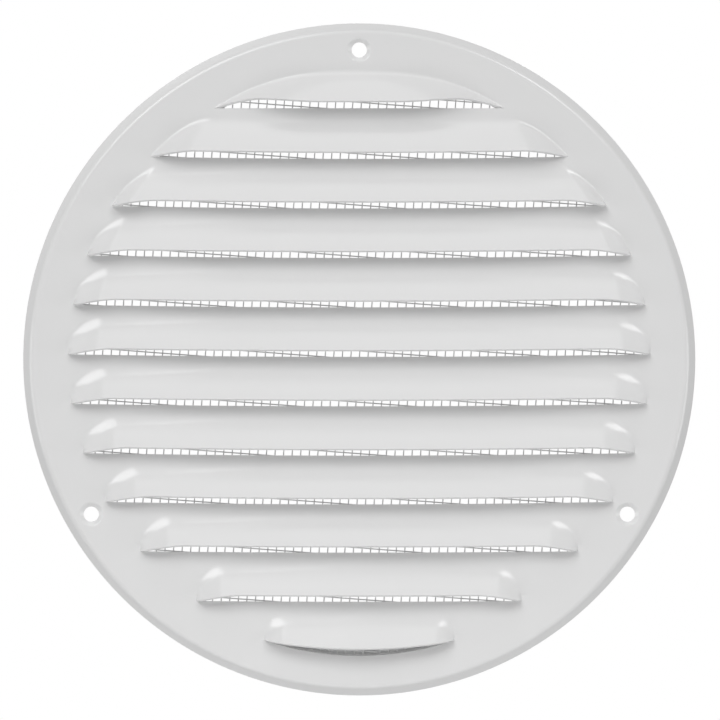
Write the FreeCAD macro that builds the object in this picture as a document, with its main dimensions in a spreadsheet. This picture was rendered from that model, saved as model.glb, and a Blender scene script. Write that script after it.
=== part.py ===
"""Round louvred vent cover: a pressed sheet plate, the wire screen behind it and the bead holding it.

Millimetres. X runs to the right, Y into the wall and Z up. The origin is the centre of the cover on
the wall, so the louvres face -Y.
"""
import FreeCAD
import Part
import math
import os
import Sketcher

SIZES = (
    ("cover_diameter", 200.0, "across the back edge of the rim"),
    ("sheet", 0.7, "thickness of the sheet metal"),
    ("rim_depth", 4.0, "front of the face to the wall"),
    ("rim_draft", 30.0, "lean of the rim from the wall's normal, in degrees"),
    ("rim_bend", 1.8, "outer radius of the bend between face and rim"),
    ("screw_inset", 8.0, "from the rim's edge in to the middle of a screw hole"),
    ("screw_count", 3.0, "screw holes, the first at the top"),
    ("screw_hole", 4.5, "diameter of a screw hole"),
    ("dimple_diameter", 7.0, "mouth of the dimple around a screw hole"),
    ("dimple_depth", 0.9, "how far a dimple is pressed back"),
    ("louvre_count", 12.0, "louvres, numbered from the top"),
    ("land_width", 13.4, "from the rim's edge in to the circle on which the slots end"),
    ("top_margin", 11.5, "from the topmost slot up to that circle"),
    ("strip_height", 3.5, "flat strip between a slot and the louvre under it"),
    ("lip_height", 6.2, "how far a louvre's lip stands out of the face"),
    ("end_run", 12.5, "length of the rounded end of a louvre at its lip"),
    ("crown_lift", 0.3, "how far the round of an end would rise over the slope"),
    ("foot_angle", 62.0, "steepness of the round foot of the topmost louvres, in degrees"),
    ("slot_height", 1.75, "gap under a lip, seen from the front"),
    ("slot_end_run", 13.0, "length over which a slot closes to its point"),
    ("bottom_slot_drop", 1.5, "how far the lowest slot's cut lies outside that circle"),
    ("bottom_slot_half", 28.3, "half the width of the lowest slot"),
    ("bottom_slot_height", 2.1, "gap under the lowest lip"),
    ("bottom_relief", 0.5, "how far the lowest slot runs past its louvre's ends"),
    ("wire", 0.4, "diameter of the screen's wire"),
    ("wire_pitch", 2.54, "from wire to wire"),
    ("screen_lap", 1.0, "how far the screen reaches past the slots' circle"),
    ("screen_edge", 1.6, "width of the screen's solid edge"),
    ("screen_turn", 4.3, "turn of the screen's weave, in degrees"),
    ("bead_lap", 2.6, "how far the adhesive bead covers the screen's edge"),
    ("bead_overhang", 0.7, "how far the bead reaches past the screen"),
    ("bead_wall", 0.5, "thickness of the bead at its edges"),
    ("bead_bevel", 0.8, "width of the bevels along the bead's back"),
    ("bead_bevel_rise", 0.35, "how far the bead's back stands over its bevels"),
    ("overshoot", 0.3, "how far a cut runs past the sheet"),
)

doc = FreeCAD.newDocument("round_vent_cover")
dims = doc.addObject("Spreadsheet::Sheet", "dims")
for row, (alias, number, note) in enumerate(SIZES, start=1):
    dims.set(f"A{row}", alias)
    dims.set(f"B{row}", str(number))
    dims.set(f"C{row}", note)
    dims.setAlias(f"B{row}", alias)
doc.recompute()


SKETCH_ORIGIN = (-1, 1)
ZERO_LINE = {"DistanceX": -2, "DistanceY": -1}


def value(expression):
    """Return the number that an expression over the sheet stands for."""
    return float(dims.evalExpression(expression))


def bind_outline(sketch, corners, arcs=None):
    """Draw a closed outline in a sketch and bind each corner to the sheet.

    corners holds pairs of expressions. arcs maps an edge's number to the expression of its radius
    and the side of its centre: 1 for the left of the edge's run and -1 for the right.
    """
    arcs = arcs or {}
    points = [FreeCAD.Vector(value(x), value(y), 0) for x, y in corners]
    ends = []
    for index, start in enumerate(points):
        end = points[(index + 1) % len(points)]
        if index not in arcs:
            sketch.addGeometry(Part.LineSegment(start, end))
            ends.append((1, 2))
            continue
        radius, side = value(arcs[index][0]), arcs[index][1]
        chord = end - start
        left = FreeCAD.Vector(-chord.y, chord.x, 0).normalize()
        rise = math.sqrt(radius**2 - (chord.Length / 2) ** 2)
        centre = (start + end) / 2 + left * (side * rise)
        first, last = (start, end) if side > 0 else (end, start)
        turns = [math.atan2(p.y - centre.y, p.x - centre.x) for p in (first, last)]
        circle = Part.Circle(centre, FreeCAD.Vector(0, 0, 1), radius)
        sketch.addGeometry(Part.ArcOfCircle(circle, *turns))
        ends.append((1, 2) if side > 0 else (2, 1))
    for index, (x, y) in enumerate(corners):
        after = (index + 1) % len(corners)
        start, joined = ends[index][0], ends[index][1]
        sketch.addConstraint(Sketcher.Constraint("Coincident", index, joined, after, ends[after][0]))
        for kind, size in (("DistanceX", x), ("DistanceY", y)):
            if size == "0":
                on_axis = Sketcher.Constraint("PointOnObject", index, start, ZERO_LINE[kind])
                sketch.addConstraint(on_axis)
                continue
            bound = Sketcher.Constraint(kind, *SKETCH_ORIGIN, index, start, value(size))
            sketch.setExpression(f"Constraints[{sketch.addConstraint(bound)}]", size)
    for index, (size, side) in arcs.items():
        bound = Sketcher.Constraint("Radius", index, value(size))
        sketch.setExpression(f"Constraints[{sketch.addConstraint(bound)}]", size)


def origin_feature(body, role):
    """Return one of a body's own origin planes or axes."""
    return next(item for item in body.Origin.OriginFeatures if item.Role == role)


def body_sketch(body, name, plane):
    """Add an empty sketch to a body, lying on one of the body's origin planes."""
    sketch = body.newObject("Sketcher::SketchObject", name)
    sketch.AttachmentSupport = [(origin_feature(body, plane), "")]
    sketch.MapMode = "FlatFace"
    return sketch


# Blank: the flat disc with its rim bent back to the wall.
RADIUS = "dims.cover_diameter / 2"
FRONT = "-dims.rim_depth"
BACK = "(dims.sheet - dims.rim_depth)"
LEAN_COS = "cos(dims.rim_draft)"
LEAN_SIN = "sin(dims.rim_draft)"
SKIRT_RUN = f"(dims.rim_depth - dims.rim_bend * (1 - {LEAN_SIN})) * tan(dims.rim_draft)"
FLAT_RADIUS = f"({RADIUS} - dims.rim_bend * {LEAN_COS} - {SKIRT_RUN})"
BEND_CENTRE = "(dims.rim_bend - dims.rim_depth)"
INNER_BEND = "(dims.rim_bend - dims.sheet)"

blank = doc.addObject("PartDesign::Body", "plate_blank")
dish_profile = body_sketch(blank, "dish_profile", "XY_Plane")
bind_outline(
    dish_profile,
    (
        ("0", FRONT),
        (FLAT_RADIUS, FRONT),
        (f"{FLAT_RADIUS} + dims.rim_bend * {LEAN_COS}", f"{BEND_CENTRE} - dims.rim_bend * {LEAN_SIN}"),
        (RADIUS, "0"),
        (f"{RADIUS} - dims.sheet / {LEAN_COS}", "0"),
        (f"{FLAT_RADIUS} + {INNER_BEND} * {LEAN_COS}", f"{BEND_CENTRE} - {INNER_BEND} * {LEAN_SIN}"),
        (FLAT_RADIUS, BACK),
        ("0", BACK),
    ),
    {1: ("dims.rim_bend", 1)},
)
dish = blank.newObject("PartDesign::Revolution", "dish")
dish.Profile = dish_profile
dish.ReferenceAxis = (dish_profile, ["V_Axis"])
dish.Angle = 360

# Screw holes: the sheet is pressed back into a cone around each hole.
MOUTH = "dims.dimple_diameter / 2"
HOLE = "dims.screw_hole / 2"
SEAT = f"({FRONT} + dims.dimple_depth)"
SEAT_BACK = f"({SEAT} + dims.sheet)"


def dimple_sketch(name, corners):
    """Add a half section of a dimple, drawn about the axis of the topmost screw hole."""
    sketch = body_sketch(blank, name, "YZ_Plane")
    sketch.setExpression("AttachmentOffset.Base.y", f"{RADIUS} - dims.screw_inset")
    bind_outline(sketch, corners)
    return sketch


cone_profile = dimple_sketch(
    "dimple_cone_profile",
    ((FRONT, MOUTH), (SEAT, HOLE), (SEAT_BACK, HOLE), (BACK, MOUTH)),
)
cone = blank.newObject("PartDesign::Revolution", "dimple_cone")
cone.Profile = cone_profile
cone.ReferenceAxis = (cone_profile, ["H_Axis"])
cone.Angle = 360
bore_profile = dimple_sketch(
    "dimple_bore_profile",
    (
        (FRONT, "0"),
        (FRONT, MOUTH),
        (SEAT, HOLE),
        (f"{SEAT_BACK} + dims.overshoot", HOLE),
        (f"{SEAT_BACK} + dims.overshoot", "0"),
    ),
)
bore = blank.newObject("PartDesign::Groove", "dimple_bore")
bore.Profile = bore_profile
bore.ReferenceAxis = (bore_profile, ["H_Axis"])
bore.Angle = 360
screw_holes = blank.newObject("PartDesign::PolarPattern", "screw_holes")
screw_holes.Originals = [cone, bore]
screw_holes.Axis = (origin_feature(blank, "Y_Axis"), [""])
screw_holes.Angle = 360
screw_holes.setExpression("Occurrences", "dims.screw_count")
blank.Tip = screw_holes

# Louvres. Each is a flat slope that leaves the face at its top line and runs out to its lip, closed
# at both ends by a round that lies along the slope. The topmost end on a wall round the whole field.
COUNT = round(value("dims.louvre_count"))
FIELD = f"({RADIUS} - dims.land_width)"
PITCH = f"((2 * {FIELD} - dims.top_margin) / (dims.louvre_count - 1))"
HOOD = f"({PITCH} - dims.strip_height)"
SLOPE = f"(dims.lip_height / ({HOOD} - dims.slot_height))"
REACH = f"({HOOD} + dims.sheet / {SLOPE})"
RISE = f"({REACH} * {SLOPE})"
WALL = f"(dims.sheet * sqrt(1 + {SLOPE} ^ 2))"
MID_SHEET = "(-dims.sheet / 2)"
TILT = f"atan({SLOPE})"
CROWN = f"({RISE} + dims.crown_lift)"
END_RISE = f"({CROWN} * cos({TILT}))"
END_RADIUS = f"((dims.end_run ^ 2 + {END_RISE} ^ 2) / (2 * {END_RISE}))"
ROUND_LOUVRES = 2
FACING = FreeCAD.Rotation(FreeCAD.Vector(1, 0, 0), 90)


def add(kind, name, **sizes):
    """Add a solid and bind its sizes, with at_x, at_y and at_z as its place."""
    solid = doc.addObject(kind, name)
    for size, expression in sizes.items():
        target = f"Placement.Base.{size[-1]}" if size.startswith("at_") else size
        solid.setExpression(target, expression)
    return solid


def combine(kind, name, base, tool):
    """Add a boolean of two solids."""
    result = doc.addObject(kind, name)
    result.Base = base
    result.Tool = tool
    return result


def fuse(name, solids):
    """Add the union of several solids."""
    result = doc.addObject("Part::MultiFuse", name)
    result.Shapes = solids
    return result


def slot_level(louvre):
    """Return the height of a louvre's slot; the lowest touches the field circle."""
    return f"({PITCH} * {COUNT - louvre} - {FIELD})"


def slot_half(louvre):
    """Return half the width of a straight slot, which ends on the field circle."""
    return f"sqrt({FIELD} ^ 2 - {slot_level(louvre)} ^ 2)"


BOTTOM_RADIUS = f"({FIELD} + dims.bottom_slot_drop)"
BOTTOM_TIP = f"(-sqrt({BOTTOM_RADIUS} ^ 2 - dims.bottom_slot_half ^ 2))"
BOTTOM_LIP = f"(dims.bottom_slot_height - {BOTTOM_RADIUS})"
BOTTOM_SAG = f"({BOTTOM_TIP} - {BOTTOM_LIP})"
BOTTOM_LIP_RADIUS = f"((dims.bottom_slot_half ^ 2 + {BOTTOM_SAG} ^ 2) / (2 * {BOTTOM_SAG}))"
FORE = f"(dims.rim_depth + {RISE})"


def end_foot(above):
    """Return how far an end's round reaches past its axis on the face, at a height above the slot."""
    deep = f"(({CROWN} - dims.sheet - {SLOPE} * {above}) * cos({TILT}))"
    return f"sqrt(2 * {END_RADIUS} * {deep} - {deep} ^ 2)"


def end_place(louvre):
    """Return how far the rounds that close a louvre stand from its middle."""
    if louvre == COUNT:
        above = f"({BOTTOM_TIP} - {slot_level(louvre)})"
        return f"(dims.bottom_slot_half - dims.bottom_relief - {end_foot(above)})"
    return f"({slot_half(louvre)} - {end_foot('0')})"


def louvre_ends(name, louvre, inset):
    """Add the room between a louvre's two ends, without its slope."""
    level = slot_level(louvre)
    if louvre <= ROUND_LOUVRES:
        wall_cone = f"{FIELD} + dims.rim_depth / tan(dims.foot_angle)"
        wide = f"({wall_cone} - {inset} / sin(dims.foot_angle))"
        field = add(
            "Part::Cone",
            f"{name}_field",
            Radius1=wide,
            Radius2=f"{wide} - 2 * {FORE} / tan(dims.foot_angle)",
            Height=f"2 * {FORE}",
        )
        field.Placement.Rotation = FACING
        return field
    place = end_place(louvre)
    rounds = []
    for side, sign in (("left", "-"), ("right", "")):
        end = add(
            "Part::Cylinder",
            f"{name}_end_{side}",
            Radius=f"{END_RADIUS} - {inset}",
            Height=f"({REACH} + 2 * dims.overshoot) / cos({TILT}) + {END_RADIUS} * {SLOPE}",
            at_x=f"{sign}{place}",
            at_y=f"{BACK} - {CROWN} - dims.overshoot * {SLOPE} + {END_RADIUS} * cos({TILT})",
            at_z=f"{level} - dims.overshoot - {END_RADIUS} * sin({TILT})",
        )
        end.Placement.Rotation = FreeCAD.Rotation(FreeCAD.Vector(-1, 0, 0), value(TILT))
        end.setExpression("Placement.Rotation.Angle", TILT)
        rounds.append(end)
    middle = add(
        "Part::Box",
        f"{name}_middle",
        Length=f"2 * {place}",
        Width=f"2 * {FORE}",
        Height=f"{REACH} + 2 * dims.overshoot",
        at_x=f"-{place}",
        at_y=f"-2 * {FORE} + dims.overshoot",
        at_z=f"{level} - dims.overshoot",
    )
    return fuse(f"{name}_ends", [*rounds, middle])


def hood(name, louvre, wall, end_wall, base):
    """Add the solid of a louvre from its lip up to where its slope runs into the sheet."""
    drop = f"({RISE} - {wall} + {base})"
    wedge = add(
        "Part::Wedge",
        f"{name}_wedge",
        Xmin=f"-{RADIUS}",
        Xmax=RADIUS,
        X2min=f"-{RADIUS}",
        X2max=RADIUS,
        Ymin="0",
        Ymax=f"{drop} / {SLOPE}",
        Zmin="0",
        Zmax=drop,
        Z2min="0",
        Z2max="0",
        at_y=f"{BACK} + {base}",
        at_z=slot_level(louvre),
    )
    wedge.Placement.Rotation = FACING
    solid = combine("Part::Common", name, wedge, louvre_ends(name, louvre, end_wall))
    if louvre < COUNT:
        return solid
    lip = add(
        "Part::Cylinder",
        f"{name}_lip",
        Radius=BOTTOM_LIP_RADIUS,
        Height=f"2 * {FORE}",
        at_y=FORE,
        at_z=f"{BOTTOM_LIP} + {BOTTOM_LIP_RADIUS}",
    )
    lip.Placement.Rotation = FACING
    return combine("Part::Common", f"{name}_trimmed", solid, lip)


SLOT_END_RADIUS = "((dims.slot_end_run ^ 2 + dims.slot_height ^ 2) / (2 * dims.slot_height))"


def slot(louvre):
    """Add the cut that opens a louvre: straight on, down to the strip and up to the lip."""
    outline = doc.addObject("Sketcher::SketchObject", f"slot_{louvre:02d}_outline")
    outline.Placement.Rotation = FACING
    if louvre == COUNT:
        corners = (("-dims.bottom_slot_half", BOTTOM_TIP), ("dims.bottom_slot_half", BOTTOM_TIP))
        arcs = {0: (BOTTOM_RADIUS, 1), 1: (BOTTOM_LIP_RADIUS, -1)}
    else:
        level = slot_level(louvre)
        half = slot_half(louvre)
        shoulder = f"({half} - dims.slot_end_run)"
        lip = f"({level} + dims.slot_height)"
        corners = ((f"-{half}", level), (half, level), (shoulder, lip), (f"-{shoulder}", lip))
        arcs = {1: (SLOT_END_RADIUS, 1), 3: (SLOT_END_RADIUS, 1)}
    bind_outline(outline, corners, arcs)
    cut = add("Part::Extrusion", f"slot_{louvre:02d}", LengthFwd=FORE)
    cut.Base = outline
    cut.DirMode = "Custom"
    cut.Dir = FreeCAD.Vector(0, -1, 0)
    cut.Solid = True
    return cut


hoods, voids = [], []
for number in range(1, COUNT + 1):
    hoods.append(hood(f"hood_{number:02d}", number, "0", "0", MID_SHEET))
    voids.append(hood(f"void_{number:02d}", number, WALL, "dims.sheet", "dims.overshoot"))
    voids.append(slot(number))
pressed = fuse("pressed_blank", [blank, *hoods])
openings = fuse("louvre_openings", voids)
louvre_plate = combine("Part::Cut", "louvre_plate", pressed, openings)
louvre_plate.Refine = True
louvre_plate.Label = "louvre_plate"

# Screen: the wires that run up and down, held at their ends by the edge of the disc.
SCREEN_RADIUS = f"({FIELD} + dims.screen_lap)"
GAPS_RADIUS = f"({SCREEN_RADIUS} - dims.screen_edge)"
WIRES_BESIDE = f"floor({GAPS_RADIUS} / dims.wire_pitch)"
FIRST_WIRE = f"(-{WIRES_BESIDE} * dims.wire_pitch)"

insect_screen = doc.addObject("PartDesign::Body", "insect_screen")
insect_screen.Label = "insect_screen"


def screen_sketch(name):
    """Add a sketch on the screen's front, which lies against the back of the sheet."""
    sketch = body_sketch(insect_screen, name, "XZ_Plane")
    sketch.setExpression("AttachmentOffset.Base.z", "dims.rim_depth - dims.sheet")
    return sketch


def add_circle(sketch, size):
    """Draw a circle about the sketch's origin and bind its radius to the sheet."""
    circle = sketch.addGeometry(Part.Circle(FreeCAD.Vector(), FreeCAD.Vector(0, 0, 1), value(size)))
    sketch.addConstraint(Sketcher.Constraint("Coincident", circle, 3, *SKETCH_ORIGIN))
    bound = Sketcher.Constraint("Radius", circle, value(size))
    sketch.setExpression(f"Constraints[{sketch.addConstraint(bound)}]", size)


def screen_pad(name, profile):
    """Pad a sketch back from the screen's front by the thickness of the weave."""
    pad = insect_screen.newObject("PartDesign::Pad", name)
    pad.Profile = profile
    pad.setExpression("Length", "2 * dims.wire")
    pad.Reversed = True
    return pad


wire_outline = screen_sketch("wire_outline")
bind_outline(
    wire_outline,
    (
        (f"{FIRST_WIRE} - dims.wire / 2", f"-{SCREEN_RADIUS}"),
        (f"{FIRST_WIRE} + dims.wire / 2", f"-{SCREEN_RADIUS}"),
        (f"{FIRST_WIRE} + dims.wire / 2", SCREEN_RADIUS),
        (f"{FIRST_WIRE} - dims.wire / 2", SCREEN_RADIUS),
    ),
)
wire = screen_pad("wire_bar", wire_outline)
wires = insect_screen.newObject("PartDesign::LinearPattern", "wires")
wires.Originals = [wire]
wires.Direction = (origin_feature(insect_screen, "X_Axis"), [""])
wires.Mode = "Spacing"
wires.setExpression("Offset", "dims.wire_pitch")
wires.setExpression("Occurrences", f"2 * {WIRES_BESIDE} + 1")
insect_screen.Tip = wires
trim_outline = screen_sketch("screen_trim_outline")
add_circle(trim_outline, f"({GAPS_RADIUS} + {SCREEN_RADIUS}) / 2")
add_circle(trim_outline, f"2 * {SCREEN_RADIUS}")
trim = insect_screen.newObject("PartDesign::Pocket", "screen_trim")
trim.Profile = trim_outline
trim.Type = "ThroughAll"
trim.Midplane = True
edge_outline = screen_sketch("screen_edge_outline")
add_circle(edge_outline, GAPS_RADIUS)
add_circle(edge_outline, SCREEN_RADIUS)
screen_pad("screen_edge", edge_outline)
insect_screen.Placement = FreeCAD.Placement(
    FreeCAD.Vector(), FreeCAD.Rotation(FreeCAD.Vector(0, 1, 0), value("dims.screen_turn"))
)
insect_screen.setExpression("Placement.Rotation.Angle", "dims.screen_turn")

# Bead: a ring of adhesive over the screen's edge, down to the back of the sheet outside it.
SCREEN_BACK = f"({BACK} + 2 * dims.wire)"
BEVEL_FOOT = f"({SCREEN_BACK} + dims.bead_wall)"
BEAD_BACK = f"({BEVEL_FOOT} + dims.bead_bevel_rise)"
BEAD_INNER = f"({SCREEN_RADIUS} - dims.bead_lap)"
BEAD_OUTER = f"({SCREEN_RADIUS} + dims.bead_overhang)"

screen_bead = doc.addObject("PartDesign::Body", "screen_bead")
screen_bead.Label = "screen_bead"
bead_profile = body_sketch(screen_bead, "bead_profile", "XY_Plane")
bind_outline(
    bead_profile,
    (
        (BEAD_INNER, SCREEN_BACK),
        (SCREEN_RADIUS, SCREEN_BACK),
        (SCREEN_RADIUS, BACK),
        (BEAD_OUTER, BACK),
        (BEAD_OUTER, BEVEL_FOOT),
        (f"{BEAD_OUTER} - dims.bead_bevel", BEAD_BACK),
        (f"{BEAD_INNER} + dims.bead_bevel", BEAD_BACK),
        (BEAD_INNER, BEVEL_FOOT),
    ),
)
bead = screen_bead.newObject("PartDesign::Revolution", "bead")
bead.Profile = bead_profile
bead.ReferenceAxis = (bead_profile, ["V_Axis"])
bead.Angle = 360

doc.recompute()
for item in doc.Objects:
    if "Invalid" in item.State or "Error" in item.State:
        raise RuntimeError(f"{item.Label} did not recompute: {item.State}")
parts = (louvre_plate, insect_screen, screen_bead)
for part in parts:
    if part.Shape.isNull() or not part.Shape.isValid() or len(part.Shape.Solids) != 1:
        raise RuntimeError(f"{part.Label} is not one valid solid")
os.makedirs("parts", exist_ok=True)
for part in parts:
    part.Shape.exportStep(os.path.join("parts", f"{part.Label}.step"))
    print(part.Label, round(part.Shape.Volume, 1), "mm3,", len(part.Shape.Faces), "faces")
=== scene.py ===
"""Round louvred vent cover: a pressed, white-coated plate over a woven screen held by a bead of sealant.

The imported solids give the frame. Each piece here stands for one of them: the plate gets the soft
bends and the slight sag of pressed sheet, the screen its weave and the bead its rounded back.
Lengths are in millimetres until a mesh is placed, X runs right, Y into the wall and Z up.
"""
import logging
import math
from dataclasses import dataclass, field
from enum import Enum

import bpy
import numpy as np
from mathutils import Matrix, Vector


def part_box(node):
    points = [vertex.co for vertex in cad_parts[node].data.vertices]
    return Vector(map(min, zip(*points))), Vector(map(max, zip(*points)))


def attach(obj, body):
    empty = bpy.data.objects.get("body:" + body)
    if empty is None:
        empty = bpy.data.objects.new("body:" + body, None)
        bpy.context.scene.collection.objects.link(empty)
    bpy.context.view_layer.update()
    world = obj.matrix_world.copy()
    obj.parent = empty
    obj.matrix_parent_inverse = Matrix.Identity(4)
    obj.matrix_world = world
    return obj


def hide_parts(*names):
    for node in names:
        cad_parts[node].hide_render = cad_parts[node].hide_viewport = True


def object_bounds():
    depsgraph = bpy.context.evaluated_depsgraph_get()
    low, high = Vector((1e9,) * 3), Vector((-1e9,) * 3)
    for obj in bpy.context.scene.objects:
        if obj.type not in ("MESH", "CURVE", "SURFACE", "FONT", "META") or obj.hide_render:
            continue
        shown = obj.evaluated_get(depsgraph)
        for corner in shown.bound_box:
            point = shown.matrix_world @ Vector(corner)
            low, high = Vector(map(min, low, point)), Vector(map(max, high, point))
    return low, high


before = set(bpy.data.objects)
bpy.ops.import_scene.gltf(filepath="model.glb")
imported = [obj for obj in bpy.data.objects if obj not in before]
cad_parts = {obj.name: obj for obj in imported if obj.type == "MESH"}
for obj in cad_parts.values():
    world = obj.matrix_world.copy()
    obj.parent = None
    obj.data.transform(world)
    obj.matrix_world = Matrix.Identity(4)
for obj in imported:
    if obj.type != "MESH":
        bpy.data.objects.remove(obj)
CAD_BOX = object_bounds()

MM = 0.001
BODY = "root"
SEAM_WELD = 0.002

logging.basicConfig(level=logging.INFO, format="%(name)s: %(message)s")
LOG = logging.getLogger("vent_cover")


class Weave(Enum):
    """The two sets of wires in the screen, with the side on which a set's first crossing passes."""

    UPRIGHT = 1
    LEVEL = -1


class Tone(Enum):
    """Greys of the finishes, as linear light."""

    COAT = 0.80
    WIRE = 0.72
    SEALANT = 0.80
    FLOOR = 0.85


def grey(tone: float) -> tuple[float, float, float, float]:
    """Return a grey as a colour with full alpha."""
    return (tone, tone, tone, 1.0)


def node_box(node: str) -> tuple[Vector, Vector]:
    """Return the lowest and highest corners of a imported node, in millimetres."""
    low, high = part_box(node)
    return Vector(low) / MM, Vector(high) / MM


def select_only(piece: bpy.types.Object) -> None:
    """Make one object the active and only selected one.

    Args:
        piece: the object.
    """
    bpy.ops.object.select_all(action="DESELECT")
    piece.select_set(True)
    bpy.context.view_layer.objects.active = piece


def select_elements(piece: bpy.types.Object, kind: str, wanted: np.ndarray) -> None:
    """Select vertices, edges or faces of a mesh by a mask, from object mode.

    Args:
        piece: the mesh object.
        kind: "vertices", "edges" or "polygons".
        wanted: one truth value for each element.
    """
    mesh = piece.data
    kinds = ("vertices", "edges", "polygons")
    bpy.context.tool_settings.mesh_select_mode = [kind == other for other in kinds]
    for other in kinds:
        elements = getattr(mesh, other)
        flags = wanted if other == kind else np.zeros(len(elements), dtype=bool)
        elements.foreach_set("select", flags)
    mesh.update()


def coordinates(piece: bpy.types.Object) -> np.ndarray:
    """Return a mesh's vertices as rows of millimetres.

    Args:
        piece: the mesh object.

    Returns:
        A row of X, Y and Z for each vertex.
    """
    flat = np.empty(len(piece.data.vertices) * 3)
    piece.data.vertices.foreach_get("co", flat)
    return flat.reshape(-1, 3) / MM


def place_vertices(piece: bpy.types.Object, points: np.ndarray) -> None:
    """Move a mesh's vertices to rows of millimetres."""
    piece.data.vertices.foreach_set("co", (points * MM).ravel())
    piece.data.update()


def edge_ends(piece: bpy.types.Object) -> np.ndarray:
    """Return the two vertex numbers of each edge.

    Args:
        piece: the mesh object.

    Returns:
        A row of two numbers for each edge.
    """
    ends = np.empty(len(piece.data.edges) * 2, dtype=np.int64)
    piece.data.edges.foreach_get("vertices", ends)
    return ends.reshape(-1, 2)


def open_edges(piece: bpy.types.Object) -> np.ndarray:
    """Return a mask of the edges that have one face.

    Args:
        piece: the mesh object.

    Returns:
        One truth value for each edge.
    """
    mesh = piece.data
    used = np.empty(len(mesh.loops), dtype=np.int64)
    mesh.loops.foreach_get("edge_index", used)
    return np.bincount(used, minlength=len(mesh.edges)) == 1


def apply_modifier(piece: bpy.types.Object, kind: str, **settings: object) -> None:
    """Add a modifier with some settings and apply it.

    Args:
        piece: the object that is changed.
        kind: the modifier's type.
        settings: values of the modifier's properties.
    """
    select_only(piece)
    modifier = piece.modifiers.new(kind.title(), kind)
    for name, value in settings.items():
        setattr(modifier, name, value)
    bpy.ops.object.modifier_apply(modifier=modifier.name)


def join(pieces: list[bpy.types.Object]) -> bpy.types.Object:
    """Join objects into the first of them.

    Args:
        pieces: the objects.

    Returns:
        The first object, which holds them all.
    """
    select_only(pieces[0])
    for piece in pieces[1:]:
        piece.select_set(True)
    bpy.ops.object.join()
    return pieces[0]


def turn_outwards(piece: bpy.types.Object) -> None:
    """Turn the normals of a mesh outwards.

    Args:
        piece: the mesh object.
    """
    select_only(piece)
    bpy.ops.object.mode_set(mode="EDIT")
    bpy.ops.mesh.select_all(action="SELECT")
    bpy.ops.mesh.normals_make_consistent(inside=False)
    bpy.ops.object.mode_set(mode="OBJECT")


def spun(name: str, profile: list[tuple[float, float]], centre: Vector, steps: int) -> bpy.types.Object:
    """Spin an open profile about an axis that runs along Y.

    Args:
        name: the new object's name.
        profile: pairs of radius and Y.
        centre: a point on the axis.
        steps: divisions of the turn.

    Returns:
        The spun shell, with its seam merged.
    """
    bpy.ops.object.select_all(action="DESELECT")
    bpy.ops.mesh.primitive_circle_add(vertices=len(profile), radius=MM)
    shell = bpy.context.object
    shell.name = name
    bpy.ops.object.mode_set(mode="EDIT")
    bpy.ops.mesh.select_all(action="DESELECT")
    bpy.ops.object.mode_set(mode="OBJECT")
    ends = edge_ends(shell)
    closing = np.abs(ends[:, 0] - ends[:, 1]) != 1
    select_elements(shell, "edges", closing)
    bpy.ops.object.mode_set(mode="EDIT")
    bpy.ops.mesh.select_mode(type="EDGE")
    bpy.ops.mesh.delete(type="EDGE_FACE")
    bpy.ops.object.mode_set(mode="OBJECT")
    place_vertices(shell, np.array([(centre.x + r, y, centre.z) for r, y in profile]))
    bpy.ops.object.mode_set(mode="EDIT")
    bpy.ops.mesh.select_mode(type="VERT")
    bpy.ops.mesh.select_all(action="SELECT")
    bpy.ops.mesh.spin(steps=steps, angle=math.tau, center=centre * MM, axis=(0.0, 1.0, 0.0))
    bpy.ops.mesh.select_all(action="SELECT")
    bpy.ops.mesh.remove_doubles(threshold=SEAM_WELD * MM)
    bpy.ops.mesh.normals_make_consistent(inside=False)
    bpy.ops.object.mode_set(mode="OBJECT")
    return shell


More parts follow.
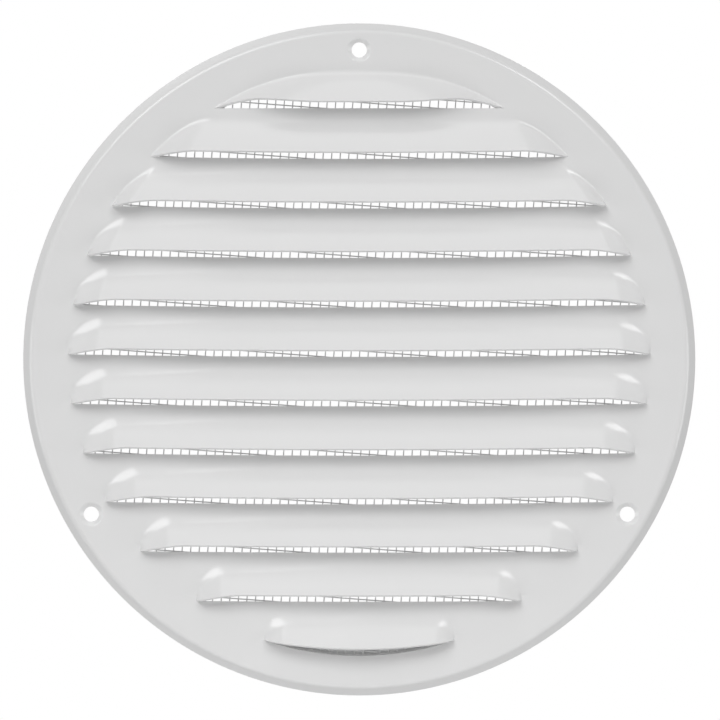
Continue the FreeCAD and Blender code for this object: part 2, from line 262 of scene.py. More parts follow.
class Nodes:
    """The node tree of a material or of the world, built one node at a time."""

    def __init__(self, owner: bpy.types.Material | bpy.types.World) -> None:
        """Start with an empty tree.

        Args:
            owner: the material or the world.
        """
        self.owner = owner
        self.owner.use_nodes = True
        self.tree = owner.node_tree
        self.tree.nodes.clear()

    @classmethod
    def of_material(cls, name: str) -> "Nodes":
        """Start the tree of a new material."""
        return cls(bpy.data.materials.new(name))

    def add(self, kind: str, **inputs: object) -> bpy.types.Node:
        """Add a node and set or link its inputs.

        Args:
            kind: the node's type without the word ShaderNode.
            inputs: values, or sockets to link, by input name with _ for a space.

        Returns:
            The new node.
        """
        node = self.tree.nodes.new(f"ShaderNode{kind}")
        for name, value in inputs.items():
            socket = node.inputs[name.replace("_", " ")]
            if isinstance(value, bpy.types.NodeSocket):
                self.tree.links.new(value, socket)
            else:
                socket.default_value = value
        return node

    def finish(self, shader: bpy.types.Node) -> bpy.types.Material | bpy.types.World:
        """Link a shader to the output.

        Args:
            shader: the node that the output takes.

        Returns:
            The material or the world.
        """
        kind = "OutputWorld" if isinstance(self.owner, bpy.types.World) else "OutputMaterial"
        self.add(kind, Surface=shader.outputs[0])
        return self.owner

    def joined(self, kind: str, first: bpy.types.NodeSocket, second: bpy.types.NodeSocket) -> bpy.types.Node:
        """Add a node whose two inputs, a factor apart, take two sockets.

        Args:
            kind: the node's type without the word ShaderNode.
            first: the socket for the first input.
            second: the socket for the second input.

        Returns:
            The new node.
        """
        node = self.add(kind)
        inputs = [socket for socket in node.inputs if socket.enabled and socket.name != "Fac"]
        self.tree.links.new(first, inputs[0])
        self.tree.links.new(second, inputs[1])
        return node

    def seen(self) -> bpy.types.NodeSocket:
        """Return one for rays that come from the lens, also by a mirror or through glass, and else nought.

        Returns:
            The factor.
        """
        rays = self.add("LightPath").outputs
        factor = rays["Is Camera Ray"]
        for other in ("Is Glossy Ray", "Is Transmission Ray"):
            larger = self.joined("Math", factor, rays[other])
            larger.operation = "MAXIMUM"
            factor = larger.outputs[0]
        return factor

    def by_sight(self, unseen: bpy.types.Node, seen: bpy.types.Node) -> bpy.types.Node:
        """Mix a shader for light that bounces with one for what the lens sees.

        Args:
            unseen: the shader for light that bounces.
            seen: the shader for the lens, mirrors and glass.

        Returns:
            The mixed shader.
        """
        mix = self.joined("MixShader", unseen.outputs[0], seen.outputs[0])
        self.tree.links.new(self.seen(), mix.inputs["Fac"])
        return mix

    def noise(self, scale: float, detail: float) -> bpy.types.NodeSocket:
        """Return a noise that lies on the piece's own coordinates."""
        place = self.add("TexCoord").outputs["Object"]
        return self.add("TexNoise", Vector=place, Scale=scale, Detail=detail).outputs["Fac"]

    def spread(self, factor: bpy.types.NodeSocket, low: float, high: float) -> bpy.types.NodeSocket:
        """Map a factor from nought and one to two numbers."""
        mapped = self.add("MapRange", Value=factor, To_Min=low, To_Max=high)
        return mapped.outputs["Result"]

    def tint(self, factor: bpy.types.NodeSocket, low: float, high: float) -> bpy.types.NodeSocket:
        """Map a factor from nought and one to two greys.

        Args:
            factor: a socket that runs from nought to one.
            low: the grey at nought.
            high: the grey at one.

        Returns:
            The colour.
        """
        ramp = self.add("ValToRGB", Fac=factor)
        ramp.color_ramp.elements[0].color = grey(low)
        ramp.color_ramp.elements[1].color = grey(high)
        return ramp.outputs["Color"]


@dataclass(frozen=True)
class PowderCoat:
    """White baked coat with a faint orange peel."""

    tone: float = Tone.COAT.value
    drift: float = 0.012
    drift_scale: float = 22.0
    drift_detail: float = 3.0
    roughness: tuple[float, float] = (0.13, 0.2)
    peel_scale: float = 620.0
    peel_detail: float = 2.0
    peel_strength: float = 0.05
    peel_depth: float = 0.02

    def material(self) -> bpy.types.Material:
        """Return the coat's material.

        Returns:
            A material with its own node tree.
        """
        nodes = Nodes.of_material("white_powder_coat")
        clouds = nodes.noise(self.drift_scale, self.drift_detail)
        peel = nodes.noise(self.peel_scale, self.peel_detail)
        bump = nodes.add("Bump", Height=peel, Strength=self.peel_strength, Distance=self.peel_depth * MM)
        shader = nodes.add(
            "BsdfPrincipled",
            Base_Color=nodes.tint(clouds, self.tone - self.drift, self.tone + self.drift),
            Roughness=nodes.spread(peel, *self.roughness),
            Normal=bump.outputs["Normal"],
        )
        return nodes.finish(shader)


@dataclass(frozen=True)
class DrawnWire:
    """Dull drawn aluminium wire."""

    tone: float = Tone.WIRE.value
    drift: float = 0.06
    drift_scale: float = 260.0
    drift_detail: float = 3.0
    metallic: float = 0.2
    roughness: tuple[float, float] = (0.42, 0.6)

    def material(self) -> bpy.types.Material:
        """Return the wire's material.

        Returns:
            A material with its own node tree.
        """
        nodes = Nodes.of_material("dull_wire")
        spots = nodes.noise(self.drift_scale, self.drift_detail)
        shader = nodes.add(
            "BsdfPrincipled",
            Base_Color=nodes.tint(spots, self.tone - self.drift, self.tone + self.drift),
            Roughness=nodes.spread(spots, *self.roughness),
            Metallic=self.metallic,
        )
        return nodes.finish(shader)


@dataclass(frozen=True)
class Sealant:
    """Grey sealant with a grainy, matt skin."""

    tone: float = Tone.SEALANT.value
    drift: float = 0.18
    grain_scale: float = 900.0
    grain_detail: float = 4.0
    roughness: tuple[float, float] = (0.6, 0.85)
    grain_strength: float = 0.5
    grain_depth: float = 0.15

    def material(self) -> bpy.types.Material:
        """Return the sealant's material.

        Returns:
            A material with its own node tree.
        """
        nodes = Nodes.of_material("grey_sealant")
        grain = nodes.noise(self.grain_scale, self.grain_detail)
        bump = nodes.add("Bump", Height=grain, Strength=self.grain_strength, Distance=self.grain_depth * MM)
        shader = nodes.add(
            "BsdfPrincipled",
            Base_Color=nodes.tint(grain, self.tone - self.drift, self.tone + self.drift),
            Roughness=nodes.spread(grain, *self.roughness),
            Normal=bump.outputs["Normal"],
        )
        return nodes.finish(shader)


@dataclass(frozen=True)
class PaleFloor:
    """Matt pale floor that glows for the lens alone, so that it is nearly white in every view."""

    tone: float = Tone.FLOOR.value
    drift: float = 0.01
    drift_scale: float = 6.0
    drift_detail: float = 2.0
    glow: float = 0.65

    def material(self) -> bpy.types.Material:
        """Return the floor's material.

        Returns:
            A material with its own node tree.
        """
        nodes = Nodes.of_material("pale_floor")
        mottle = nodes.noise(self.drift_scale, self.drift_detail)
        shade = nodes.tint(mottle, self.tone - self.drift, self.tone + self.drift)
        matt = nodes.add("BsdfDiffuse", Color=shade)
        glow = nodes.add("Emission", Color=grey(1.0), Strength=self.glow)
        pale = nodes.joined("AddShader", matt.outputs[0], glow.outputs[0])
        return nodes.finish(nodes.by_sight(matt, pale))


def soft_max(a: np.ndarray, b: np.ndarray, blend: np.ndarray) -> np.ndarray:
    """Return the larger of two heights, with a rounded inside corner.

    Args:
        a: the first heights.
        b: the second heights.
        blend: the height over which the corner is rounded.

    Returns:
        The rounded larger heights.
    """
    near = np.maximum(blend - np.abs(a - b), 0.0)
    return np.maximum(a, b) + near * near / (4.0 * blend)


def soft_step(x: np.ndarray, low: float, high: float) -> np.ndarray:
    """Return a smooth step from nought at low to one at high."""
    t = np.clip((x - low) / (high - low), 0.0, 1.0)
    return t * t * (3.0 - 2.0 * t)


@dataclass
class LouvrePlate:
    """The pressed plate: louvred field, flat land with screw dimples, and bent rim."""

    radius: float

    # sheet and rim
    sheet: float = 0.7
    rim_depth: float = 4.0
    rim_draft: float = math.radians(30.0)
    rim_bend: float = 1.8
    rim_flat: float = 0.3
    bend_points: int = 9
    rim_steps: int = 288
    crease: float = math.radians(40.0)

    # screw holes and their dimples
    screw_inset: float = 8.0
    screw_count: int = 3
    screw_hole: float = 4.5
    dimple_diameter: float = 7.0
    dimple_depth: float = 0.9
    dimple_round: float = 0.14
    dimple_lap: float = 0.4
    dimple_rings: int = 16
    dimple_steps: int = 48

    # field of louvres
    louvre_count: int = 12
    land_width: float = 13.4
    top_margin: float = 11.5
    strip_height: float = 3.5
    lip_height: float = 6.2
    foot_round: float = 2.3

    # slots, how they hang and how they close at their tips
    slot_height: float = 2.0
    slot_end_run: float = 13.0
    slot_end_power: float = 1.55
    top_slot_flare: float = 0.45
    top_flare_start: float = 12.0
    bottom_slot_drop: float = 1.5
    bottom_slot_half: float = 28.3
    bottom_slot_height: float = 2.3
    sag: float = 0.75
    sag_share: tuple[float, ...] = (0.0, 0.9, 1.0, 1.0, 1.0, 1.0, 1.0, 1.0, 1.0, 0.5, 0.3, 0.0)
    slot_drop: float = 0.45
    drop_range: tuple[float, float] = (-62.0, -20.0)

    # ends of the long louvres
    end_run: float = 10.5
    least_end: float = 0.35
    top_end_power: float = 0.8
    end_fall: float = 1.7
    fall_run: float = 45.0
    end_bow: float = 1.45
    end_power: float = 0.5
    tip_fade: float = 5.0
    tip_least: float = 0.06

    # round louvres at the top
    round_louvres: int = 2
    foot_angle: float = math.radians(54.0)
    crown_round: float = 3.6
    round_foot_round: float = 0.9

    # grid that the field is pressed from
    band: float = 1.0
    bottom_band: float = 3.4
    bottom_band_range: tuple[float, float] = (60.0, 75.0)
    louvre_rows: int = 20
    middle_columns: int = 9
    end_columns: int = 38
    band_columns: int = 2
    end_width: float = 17.0
    end_most: float = 0.8
    least_half: float = 8.0
    least_band: float = 0.6
    tip_shift: float = 0.7
    top_share: float = 0.35
    tip_weld: float = 0.03
    edge_lap: float = 0.6
    tolerance: float = 0.02

    finish: PowderCoat = field(default_factory=PowderCoat)

    def __post_init__(self) -> None:
        """Work out the sizes that follow from the fields."""
        self.field_radius = self.radius - self.land_width
        self.pitch = (2.0 * self.field_radius - self.top_margin) / (self.louvre_count - 1)
        self.hood = self.pitch - self.strip_height
        self.slope = self.lip_height / (self.hood - self.slot_height)
        self.bottom_radius = self.field_radius + self.bottom_slot_drop
        self.bottom_tip = -math.sqrt(self.bottom_radius**2 - self.bottom_slot_half**2)
        fall = self.bottom_tip + self.bottom_radius - self.bottom_slot_height
        self.bottom_lip_radius = (self.bottom_slot_half**2 + fall**2) / (2.0 * fall)

    def level(self, louvre: int) -> float:
        """Return the height of a louvre's slot, counted from the top."""
        return self.pitch * (self.louvre_count - louvre) - self.field_radius

    def slot_half(self, louvre: int) -> float:
        """Return half the width of a louvre's slot.

        Args:
            louvre: its number, from 1 at the top.

        Returns:
            The half width.
        """
        if louvre == self.louvre_count:
            return self.bottom_slot_half
        return math.sqrt(self.field_radius**2 - self.level(louvre) ** 2)

    def end_length(self, louvre: int) -> float:
        """Return the length over which a louvre's ends run down, shorter where the field's edge slants.

        Args:
            louvre: its number, from 1 at the top.

        Returns:
            The length of one end.
        """
        if self.level(louvre) > 0.0:
            rise = (self.level(louvre) + self.hood) / self.field_radius
            return self.end_run * (1.0 - rise) ** self.top_end_power
        share = self.slot_half(louvre) / self.field_radius
        return self.end_run * (self.least_end + (1.0 - self.least_end) * share)

    def slot_bottom(self, louvre: int) -> float:
        """Return the height at which a louvre's slot has its tips."""
        return self.level(louvre) if louvre < self.louvre_count else self.bottom_tip

    def round_hood(self, louvre: int, x: np.ndarray, z: np.ndarray) -> np.ndarray:
        """Return the heights of a top louvre, whose foot is the field's round edge.

        Args:
            louvre: its number, from 1 at the top.
            x: places across the plate.
            z: places up the plate, before the sag.

        Returns:
            Heights over the face, below nought outside the louvre.
        """
        slope = self.slope * (self.level(louvre) + self.hood - z)
        wall = (self.field_radius - np.hypot(x, z)) * math.tan(self.foot_angle)
        return -soft_max(-slope, -wall, np.full_like(x, self.crown_round))

    def end_share(self, louvre: int, x: np.ndarray, z: np.ndarray) -> np.ndarray:
        """Return how far places lie along a louvre's ends, from nought to one at the tips.

        Args:
            louvre: its number, from 1 at the top.
            x: places across the plate.
            z: places up the plate, before the sag.

        Returns:
            One share for each place.
        """
        edge = np.full_like(x, self.slot_half(louvre))
        if self.level(louvre) > 0.0:
            edge = np.minimum(edge, np.sqrt(np.maximum(self.field_radius**2 - z**2, 0.0)))
        return np.clip((np.abs(x) - edge) / self.end_length(louvre) + 1.0, 0.0, 1.0)

    def long_hood(self, louvre: int, x: np.ndarray, z: np.ndarray) -> np.ndarray:
        """Return the heights of a louvre whose foot bows down to the slot's tips at both ends.

        Args:
            louvre: its number, from 1 at the top.
            x: places across the plate.
            z: places up the plate, before the sag.

        Returns:
            Heights over the face, below nought outside the louvre.
        """
        half, bottom = self.slot_half(louvre), self.slot_bottom(louvre)
        fall = self.end_fall * soft_step(np.abs(x), half - self.fall_run, half - self.end_length(louvre))
        top = self.level(louvre) + self.hood - fall
        bow = (1.0 - self.end_share(louvre, x, z) ** self.end_bow) ** self.end_power
        return self.slope * (bottom + (top - bottom) * bow - z)

    def height(self, louvre: int, x: np.ndarray, z: np.ndarray) -> np.ndarray:
        """Return how far a louvre stands out of the face.

        Args:
            louvre: its number, from 1 at the top.
            x: places across the plate.
            z: places up the plate, before the sag.

        Returns:
            Heights over the face.
        """
        if louvre <= self.round_louvres:
            hood, foot_round = self.round_hood(louvre, x, z), self.round_foot_round
        else:
            hood, foot_round = self.long_hood(louvre, x, z), self.foot_round
        fade = np.clip((z - self.slot_bottom(louvre)) / self.tip_fade, self.tip_least, 1.0)
        inside = self.edge_circle(z) - np.hypot(x, z)
        rise = soft_max(hood, np.zeros_like(x), foot_round * fade)
        return rise * soft_step(inside, 0.0, self.band)

    def tip_place(self, louvre: int, share: float) -> float:
        """Return where the tip column of one row of a louvre stands.

        Args:
            louvre: its number, from 1 at the top.
            share: nought at the cut above the louvre and one at its lip.

        Returns:
            The place across the plate.
        """
        if self.level(louvre) > 0.0:
            z = self.row_top(louvre) + (self.level(louvre) - self.row_top(louvre)) * share
            return math.sqrt(max(self.field_radius**2 - z**2, self.least_half**2))
        step = float(soft_step(np.array(share), 0.0, self.tip_shift))
        above = self.slot_half(louvre - 1)
        return above + (self.slot_half(louvre) - above) * step

    def row_top(self, louvre: int) -> float:
        """Return the height of a louvre's first row in the middle.

        Args:
            louvre: its number, from 1 at the top.

        Returns:
            The place up the plate.
        """
        if louvre == 1:
            return self.field_radius + self.top_share * self.band
        return self.level(louvre) + self.pitch

    def edge_circle(self, z: np.ndarray) -> np.ndarray:
        """Return the radius of the field patch's edge at a height."""
        low = soft_step(-z, *self.bottom_band_range)
        return self.field_radius + self.band + (self.bottom_band - self.band) * low

    def columns(self, z: float, tip: float) -> np.ndarray:
        """Return the places across the right half of one row of the patch, from the middle out.

        Args:
            z: the row's height.
            tip: where the row's tip column stands.

        Returns:
            One row of places.
        """
        reach = float(self.edge_circle(np.array(z)))
        edge = math.sqrt(max(reach**2 - z**2, (tip + self.least_band) ** 2))
        width = min(self.end_width, self.end_most * tip)
        middle = np.linspace(0.0, tip - width, self.middle_columns, endpoint=False)
        end = np.linspace(tip - width, tip, self.end_columns, endpoint=False)
        band = np.linspace(tip, edge, self.band_columns + 1)
        return np.concatenate([middle, end, band])

    def cut_line(self, louvre: int, x: np.ndarray) -> np.ndarray:
        """Return the height of a slot's lower edge along a row, before the sag.

        Args:
            louvre: its number, from 1 at the top.
            x: places across the plate.

        Returns:
            Places up the plate.
        """
        if louvre < self.louvre_count:
            return np.full_like(x, self.level(louvre))
        inside = np.minimum(np.abs(x), self.bottom_slot_half)
        return -np.sqrt(self.bottom_radius**2 - inside**2)

    def lip_line(self, louvre: int, x: np.ndarray) -> np.ndarray:
        """Return the height of a lip's edge along a row, before the sag.

        Args:
            louvre: its number, from 1 at the top.
            x: places across the plate.

        Returns:
            Places up the plate.
        """
        half = self.slot_half(louvre)
        inside = np.minimum(np.abs(x), half)
        if louvre == self.louvre_count:
            centre = self.bottom_tip + math.sqrt(self.bottom_lip_radius**2 - half**2)
            return centre - np.sqrt(self.bottom_lip_radius**2 - inside**2)
        run = np.clip((inside - half + self.slot_end_run) / self.slot_end_run, 0.0, 1.0)
        gap = self.slot_height * (1.0 - run**self.slot_end_power)
        if louvre == 1:
            flare = soft_step(inside, self.top_flare_start, half - self.slot_end_run)
            gap = gap * (1.0 + self.top_slot_flare * flare)
        return self.level(louvre) + gap

    def sag_line(self, louvre: int, x: np.ndarray) -> np.ndarray:
        """Return how far a slot hangs below or stands above its level along a row.

        Args:
            louvre: its number, from 1 at the top.
            x: places across the plate.

        Returns:
            Distances up, below nought where the slot hangs.
        """
        if louvre < 1:
            return np.zeros_like(x)
        share = np.minimum(np.abs(x) / self.slot_half(louvre), 1.0)
        drop = self.slot_drop * soft_step(np.array(self.level(louvre)), *self.drop_range)
        return self.sag * self.sag_share[louvre - 1] * (share**2 - 0.5) - drop

    def field_patch(self) -> bpy.types.Object:
        """Press the louvred field from a flat grid and cut its slots.

        Returns:
            The field as an open skin, with its slots cut.
        """
        rows, lips = [], []
        for louvre in range(1, self.louvre_count + 1):
            rows.extend(self.louvre_sheet(louvre))
            lips.append(len(rows) - 1)
        rows.append(self.cut_row(self.louvre_count))
        rows.append(self.foot_row())
        points = np.array(rows)
        count_rows, count_columns = points.shape[:2]
        bpy.ops.object.select_all(action="DESELECT")
        bpy.ops.mesh.primitive_grid_add(
            x_subdivisions=count_columns - 1, y_subdivisions=count_rows - 1, size=2.0 * self.radius * MM
        )
        patch = bpy.context.object
        patch.name = "louvre_plate_skin"
        place_vertices(patch, points.reshape(-1, 3))
        corners = np.empty(len(patch.data.loops), dtype=np.int64)
        patch.data.loops.foreach_get("vertex_index", corners)
        top_rows = corners.reshape(-1, 4).min(axis=1) // count_columns
        select_elements(patch, "polygons", np.isin(top_rows, lips))
        bpy.ops.object.mode_set(mode="EDIT")
        bpy.ops.mesh.select_mode(type="FACE")
        bpy.ops.mesh.delete(type="ONLY_FACE")
        bpy.ops.mesh.select_all(action="SELECT")
        bpy.ops.mesh.remove_doubles(threshold=self.tip_weld * MM)
        bpy.ops.mesh.delete_loose(use_verts=True, use_edges=True, use_faces=False)
        bpy.ops.object.mode_set(mode="OBJECT")
        return patch

    def whole_row(self, right: np.ndarray) -> np.ndarray:
        """Return a row of places from the left edge to the right one."""
        return np.concatenate([-right[:0:-1], right])

    def louvre_sheet(self, louvre: int) -> list[np.ndarray]:
        """Return the rows of one louvre, from the cut above it down to its lip.

        Args:
            louvre: its number, from 1 at the top.

        Returns:
            Rows of points.
        """
        return [self.louvre_row(louvre, share) for share in np.linspace(0.0, 1.0, self.louvre_rows)]

    def louvre_row(self, louvre: int, share: float) -> np.ndarray:
        """Return one row of a louvre.

        Args:
            louvre: its number, from 1 at the top.
            share: nought at the cut above the louvre and one at its lip.

        Returns:
            A row of points.
        """
        above, below = self.row_top(louvre), self.slot_bottom(louvre)
        base = above + (below - above) * share
        x = self.whole_row(self.columns(base, self.tip_place(louvre, share)))
        z = base + (self.lip_line(louvre, x) - below) * share
        if louvre == 1:
            edge = self.field_radius + self.band
            reach = math.sqrt(edge**2 - above**2)
            z += (np.sqrt(edge**2 - (x / x[-1] * reach) ** 2) - above) * (1.0 - share)
        height = self.height(louvre, x, z)
        if share == 1.0:
            height[np.abs(x) > self.slot_half(louvre) - self.tolerance] = 0.0
        sag = self.sag_line(louvre - 1, x) * (1.0 - share) + self.sag_line(louvre, x) * share
        return np.stack([x, -self.rim_depth - height, z + sag], axis=1)

    def cut_row(self, louvre: int) -> np.ndarray:
        """Return the row of points along a slot's lower edge.

        Args:
            louvre: its number, from 1 at the top.

        Returns:
            A row of points.
        """
        x = self.whole_row(self.columns(self.slot_bottom(louvre), self.slot_half(louvre)))
        z = self.cut_line(louvre, x) + self.sag_line(louvre, x)
        return np.stack([x, np.full_like(x, -self.rim_depth), z], axis=1)

    def foot_row(self) -> np.ndarray:
        """Return the lowest row of the patch, an arc under the bottom slot.

        Returns:
            A row of points.
        """
        x = self.whole_row(self.columns(self.bottom_tip, self.bottom_slot_half))
        edge = self.field_radius + self.bottom_band
        z = -np.sqrt(edge**2 - np.minimum(np.abs(x), edge) ** 2)
        return np.stack([x, np.full_like(x, -self.rim_depth), z], axis=1)

    def rim(self) -> bpy.types.Object:
        """Spin the rim: a narrow flat, the bend and the skirt down to the wall.

        Returns:
            The rim as an open skin.
        """
        cos, sin = math.cos(self.rim_draft), math.sin(self.rim_draft)
        skirt = (self.rim_depth - self.rim_bend * (1.0 - sin)) * math.tan(self.rim_draft)
        flat = self.radius - self.rim_bend * cos - skirt
        profile = [(flat - self.rim_flat, -self.rim_depth)]
        for turn in np.linspace(0.0, math.pi / 2.0 - self.rim_draft, self.bend_points):
            out, back = self.rim_bend * math.sin(turn), self.rim_bend * (1.0 - math.cos(turn))
            profile.append((flat + out, back - self.rim_depth))
        profile.append((self.radius, 0.0))
        return spun("rim", profile, Vector((0.0, 0.0, 0.0)), self.rim_steps)

    def dimple(self, number: int) -> bpy.types.Object:
        """Spin the dimple around one screw hole.

        Args:
            number: the hole's number, from nought at the top.

        Returns:
            The dimple as an open skin.
        """
        turn = math.tau * number / self.screw_count
        circle = self.radius - self.screw_inset
        centre = Vector((circle * math.sin(turn), 0.0, circle * math.cos(turn)))
        mouth, hole = self.dimple_diameter / 2.0, self.screw_hole / 2.0
        radii = np.linspace(mouth + self.dimple_lap, hole, self.dimple_rings)
        fall = (mouth - radii) * self.dimple_depth / (mouth - hole)
        depth = soft_max(fall, np.zeros_like(fall), np.full_like(fall, self.dimple_round))
        profile = [(r, d - self.rim_depth) for r, d in zip(radii, depth)]
        return spun(f"dimple_{number}", profile, centre, self.dimple_steps)

    def build(self) -> bpy.types.Object:
        """Make the whole plate and dress it.

        Returns:
            The finished plate.
        """
        patch = self.field_patch()
        plate = join([patch, self.rim(), *[self.dimple(n) for n in range(self.screw_count)]])
        self.fill_land(plate)
        apply_modifier(
            plate,
            "SOLIDIFY",
            thickness=self.sheet * MM,
            offset=-1.0,
            use_even_offset=True,
            use_quality_normals=True,
        )
        points = coordinates(plate)
        points[:, 1] = np.minimum(points[:, 1], 0.0)
        place_vertices(plate, points)
        select_only(plate)
        bpy.ops.object.shade_smooth_by_angle(angle=self.crease)
        plate.name = "pressed_plate"
        plate.data.materials.clear()
        plate.data.materials.append(self.finish.material())
        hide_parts("louvre_plate")
        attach(plate, BODY)
        return plate

    def fill_land(self, plate: bpy.types.Object) -> None:
        """Fill the flat land between the field, the rim and the screw dimples.

        Args:
            plate: the joined open skins.
        """
        points = coordinates(plate)
        ends = edge_ends(plate)
        middle = points[ends].mean(axis=1)
        reach = np.hypot(middle[:, 0], middle[:, 2])
        outside = reach > self.edge_circle(middle[:, 2]) - self.edge_lap
        front = np.abs(middle[:, 1] + self.rim_depth) < self.tolerance
        select_elements(plate, "edges", open_edges(plate) & outside & front)
        select_only(plate)
        bpy.ops.object.mode_set(mode="EDIT")
        bpy.ops.mesh.select_mode(type="EDGE")
        bpy.ops.mesh.fill(use_beauty=True)
        bpy.ops.object.mode_set(mode="OBJECT")
        turn_outwards(plate)
        face_up(plate)


def face_up(plate: bpy.types.Object) -> None:
    """Turn an open sheet's faces to the front if most of them face back.

    Args:
        plate: the open sheet.
    """
    normals = np.empty(len(plate.data.polygons) * 3)
    plate.data.polygons.foreach_get("normal", normals)
    if normals.reshape(-1, 3)[:, 1].mean() > 0.0:
        select_only(plate)
        bpy.ops.object.mode_set(mode="EDIT")
        bpy.ops.mesh.select_all(action="SELECT")
        bpy.ops.mesh.flip_normals()
        bpy.ops.object.mode_set(mode="OBJECT")


@dataclass
class InsectScreen:
    """The woven screen: two sets of wires that pass over and under each other."""

    radius: float
    front: float
    back: float
    wire: float = 0.4
    pitch: float = 2.54
    turn: float = math.radians(4.3)
    sides: int = 6
    pitch_parts: int = 2
    edge_steps: int = 192
    cutter_depth: float = 20.0
    crease: float = math.radians(65.0)
    finish: DrawnWire = field(default_factory=DrawnWire)

    def __post_init__(self) -> None:
        """Count the wires beside the middle one and find the weave's middle plane."""
        self.beside = math.floor(self.radius / self.pitch)
        self.middle = (self.front + self.back) / 2.0

    def wire_tube(self, weave: Weave) -> bpy.types.Object:
        """Model the first wire of a set, waved over and under the wires that it crosses.

        Args:
            weave: the set.

        Returns:
            The wire, at the low edge of the screen.
        """
        length = 2.0 * self.pitch * (self.beside + 1)
        bpy.ops.object.select_all(action="DESELECT")
        bpy.ops.mesh.primitive_cylinder_add(
            vertices=self.sides, radius=self.wire / 2.0 * MM, depth=length * MM, end_fill_type="NGON"
        )
        tube = bpy.context.object
        select_elements(tube, "edges", np.array([self.is_long(tube, e) for e in tube.data.edges]))
        bpy.ops.object.mode_set(mode="EDIT")
        bpy.ops.mesh.select_mode(type="EDGE")
        bpy.ops.mesh.subdivide(number_cuts=2 * self.pitch_parts * (self.beside + 1) - 1)
        bpy.ops.object.mode_set(mode="OBJECT")
        points = coordinates(tube)
        wave = np.cos(math.pi * points[:, 2] / self.pitch) * self.wire / 2.0 * weave.value
        points[:, 0] -= self.pitch * self.beside
        points[:, 1] += wave + self.middle
        if weave is Weave.LEVEL:
            points = points[:, [2, 1, 0]]
        place_vertices(tube, points)
        return tube

    def is_long(self, tube: bpy.types.Object, edge: bpy.types.MeshEdge) -> bool:
        """Tell whether an edge runs along a fresh cylinder."""
        a, b = (tube.data.vertices[v].co for v in edge.vertices)
        return abs(a.z - b.z) > self.pitch * MM

    def wire_set(self, weave: Weave) -> bpy.types.Object:
        """Copy a set's first wire across the screen, each next one waved the other way.

        Args:
            weave: the set.

        Returns:
            All the wires of the set, not yet trimmed.
        """
        first = self.wire_tube(weave)
        select_only(first)
        bpy.ops.object.duplicate()
        second = bpy.context.object
        points = coordinates(second)
        across = 0 if weave is Weave.UPRIGHT else 2
        points[:, across] += self.pitch
        points[:, 1] = 2.0 * self.middle - points[:, 1]
        place_vertices(second, points)
        turn_outwards(second)
        pair = join([first, second])
        step = [0.0, 0.0, 0.0]
        step[across] = 2.0 * self.pitch * MM
        apply_modifier(
            pair,
            "ARRAY",
            count=self.beside + 1,
            use_relative_offset=False,
            use_constant_offset=True,
            constant_offset_displace=step,
        )
        turn_outwards(pair)
        return pair

    def trim(self, wires: bpy.types.Object) -> None:
        """Cut a set of wires to the round edge of the screen.

        Args:
            wires: the set.
        """
        bpy.ops.object.select_all(action="DESELECT")
        bpy.ops.mesh.primitive_cylinder_add(
            vertices=self.edge_steps,
            radius=self.radius * MM,
            depth=self.cutter_depth * MM,
            rotation=(math.pi / 2.0, 0.0, 0.0),
        )
        cutter = bpy.context.object
        apply_modifier(wires, "BOOLEAN", operation="INTERSECT", object=cutter, solver="MANIFOLD")
        bpy.data.objects.remove(cutter)

    def build(self) -> bpy.types.Object:
        """Weave the screen, turn it and dress it.

        Returns:
            The finished screen.
        """
        sets = [self.wire_set(weave) for weave in Weave]
        for wires in sets:
            self.trim(wires)
        screen = join(sets)
        points = coordinates(screen)
        cos, sin = math.cos(self.turn), math.sin(self.turn)
        x, z = points[:, 0].copy(), points[:, 2].copy()
        points[:, 0] = cos * x + sin * z
        points[:, 2] = cos * z - sin * x
        place_vertices(screen, points)
        select_only(screen)
        bpy.ops.object.shade_smooth_by_angle(angle=self.crease)
        screen.name = "woven_screen"
        screen.data.materials.clear()
        screen.data.materials.append(self.finish.material())
        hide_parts("insect_screen")
        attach(screen, BODY)
        return screen


@dataclass
class ScreenBead:
    """The bead of sealant over the screen's edge."""

    outer: float
    front: float
    back: float
    screen_radius: float
    screen_back: float
    width: float = 3.3
    shoulder_rise: float = 0.45
    back_points: int = 11
    steps: int = 240
    crease: float = math.radians(40.0)
    finish: Sealant = field(default_factory=Sealant)

    def build(self) -> bpy.types.Object:
        """Spin the bead with a rounded back and dress it.

        Returns:
            The finished bead.
        """
        half = self.width / 2.0
        inner, middle = self.outer - self.width, self.outer - half
        shoulder = self.screen_back + self.shoulder_rise
        profile = [
            (inner, self.screen_back),
            (self.screen_radius, self.screen_back),
            (self.screen_radius, self.front),
            (self.outer, self.front),
        ]
        for turn in np.linspace(0.0, math.pi, self.back_points):
            out, back = half * math.cos(turn), (self.back - shoulder) * math.sin(turn)
            profile.append((middle + out, shoulder + back))
        profile.append((inner, self.screen_back))
        bead = spun("sealant_bead", profile, Vector((0.0, 0.0, 0.0)), self.steps)
        select_only(bead)
        bpy.ops.object.shade_smooth_by_angle(angle=self.crease)
        bead.data.materials.clear()
        bead.data.materials.append(self.finish.material())
        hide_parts("screen_bead")
        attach(bead, BODY)
        return bead


@dataclass(frozen=True)
class SoftBox:
    """One rectangular studio lamp, aimed at the middle of the cover."""

    name: str
    place: tuple[float, float, float]
    width: float
    height: float
    watts: float

    def build(self) -> bpy.types.Object:
        """Hang the lamp.

        Returns:
            The lamp.
        """
        lamp = bpy.data.lights.new(self.name, "AREA")
        lamp.shape = "RECTANGLE"
        lamp.size = self.width
        lamp.size_y = self.height
        lamp.energy = self.watts
        box = bpy.data.objects.new(self.name, lamp)
        bpy.context.collection.objects.link(box)
        box.location = self.place
        box.rotation_euler = (-Vector(self.place)).to_track_quat("-Z", "Y").to_euler()
        box.visible_camera = False
        return box


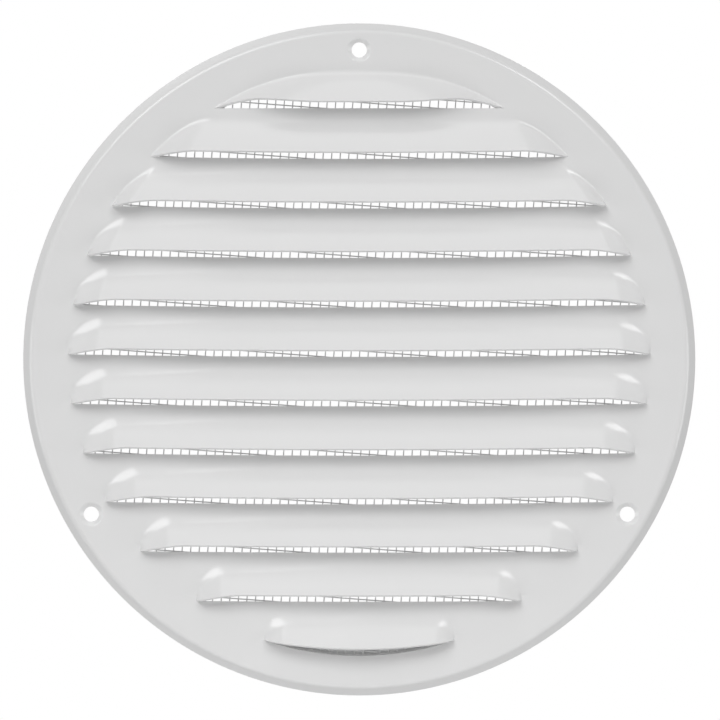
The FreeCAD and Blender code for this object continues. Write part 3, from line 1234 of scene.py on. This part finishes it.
@dataclass
class Studio:
    """White surroundings, soft lamps, a pale floor and the camera, in metres."""

    frame_width: float = 0.21427
    distance: float = 3.0
    offset: tuple[float, float] = (0.00022, -0.00017)
    sensor: float = 36.0
    clip_end: float = 20.0
    ambient: float = 0.205
    floor_drop: float = 1.6
    floor_size: float = 24.0
    floor_finish: PaleFloor = field(default_factory=PaleFloor)
    boxes: tuple[SoftBox, ...] = (
        SoftBox("softbox_left", (-1.04, -2.24, 1.7), 1.5, 1.5, 33.0),
        SoftBox("softbox_right", (1.13, -2.18, 1.72), 0.8, 1.1, 15.5),
        SoftBox("softbox_top", (0.0, -0.63, 1.36), 0.9, 0.6, 2.1),
        SoftBox("softbox_low", (0.0, -0.2, -0.25), 0.5, 0.06, 0.2),
        SoftBox("softbox_side_left", (-2.2, -0.5, -0.2), 1.6, 0.9, 8.0),
        SoftBox("softbox_side_right", (2.2, -0.5, -0.2), 1.6, 0.9, 10.0),
        SoftBox("softbox_back", (-0.9, 2.3, 1.6), 1.2, 1.2, 26.0),
    )

    def camera(self) -> bpy.types.Object:
        """Stand the camera straight in front of the cover, with a long lens.

        Returns:
            The camera.
        """
        data = bpy.data.cameras.new("camera")
        data.sensor_width = self.sensor
        data.lens = self.sensor * self.distance / self.frame_width
        data.clip_end = self.clip_end
        camera = bpy.data.objects.new("camera", data)
        bpy.context.collection.objects.link(camera)
        camera.location = (self.offset[0], -self.distance, self.offset[1])
        camera.rotation_euler = (math.pi / 2.0, 0.0, 0.0)
        bpy.context.scene.camera = camera
        return camera

    def surroundings(self) -> None:
        """Fill the world with soft light that the lens sees as white."""
        world = bpy.data.worlds.new("white_surroundings")
        bpy.context.scene.world = world
        nodes = Nodes(world)
        light = nodes.add("Background", Color=grey(1.0), Strength=self.ambient)
        white = nodes.add("Background", Color=grey(1.0), Strength=1.0)
        nodes.finish(nodes.by_sight(light, white))

    def floor(self) -> bpy.types.Object:
        """Lay the pale floor below the cover.

        Returns:
            The floor.
        """
        bpy.ops.object.select_all(action="DESELECT")
        below = CAD_BOX[0][2] - self.floor_drop
        bpy.ops.mesh.primitive_plane_add(size=self.floor_size, location=(0.0, 0.0, below))
        floor = bpy.context.object
        floor.name = "floor"
        floor.data.materials.append(self.floor_finish.material())
        return floor

    def build(self) -> None:
        """Set up the whole studio."""
        self.surroundings()
        self.floor()
        for box in self.boxes:
            box.build()
        self.camera()
        bpy.context.scene.view_settings.view_transform = "Standard"


def report(piece: bpy.types.Object) -> None:
    """Log a finished piece with its triangles."""
    triangles = sum(len(face.vertices) - 2 for face in piece.data.polygons)
    LOG.info("%s: %d triangles", piece.name, triangles)


def main() -> None:
    """Build the screen, the bead, the plate and the studio."""
    _, plate_high = node_box("louvre_plate")
    screen_low, screen_high = node_box("insect_screen")
    bead_low, bead_high = node_box("screen_bead")
    screen_radius = (screen_high.x - screen_low.x) / 2.0
    report(InsectScreen(radius=screen_radius, front=screen_low.y, back=screen_high.y).build())
    report(
        ScreenBead(
            outer=(bead_high.x - bead_low.x) / 2.0,
            front=bead_low.y,
            back=bead_high.y,
            screen_radius=screen_radius,
            screen_back=screen_high.y,
        ).build()
    )
    report(LouvrePlate(radius=plate_high.x).build())
    Studio().build()


if __name__ == "__main__":
    main()
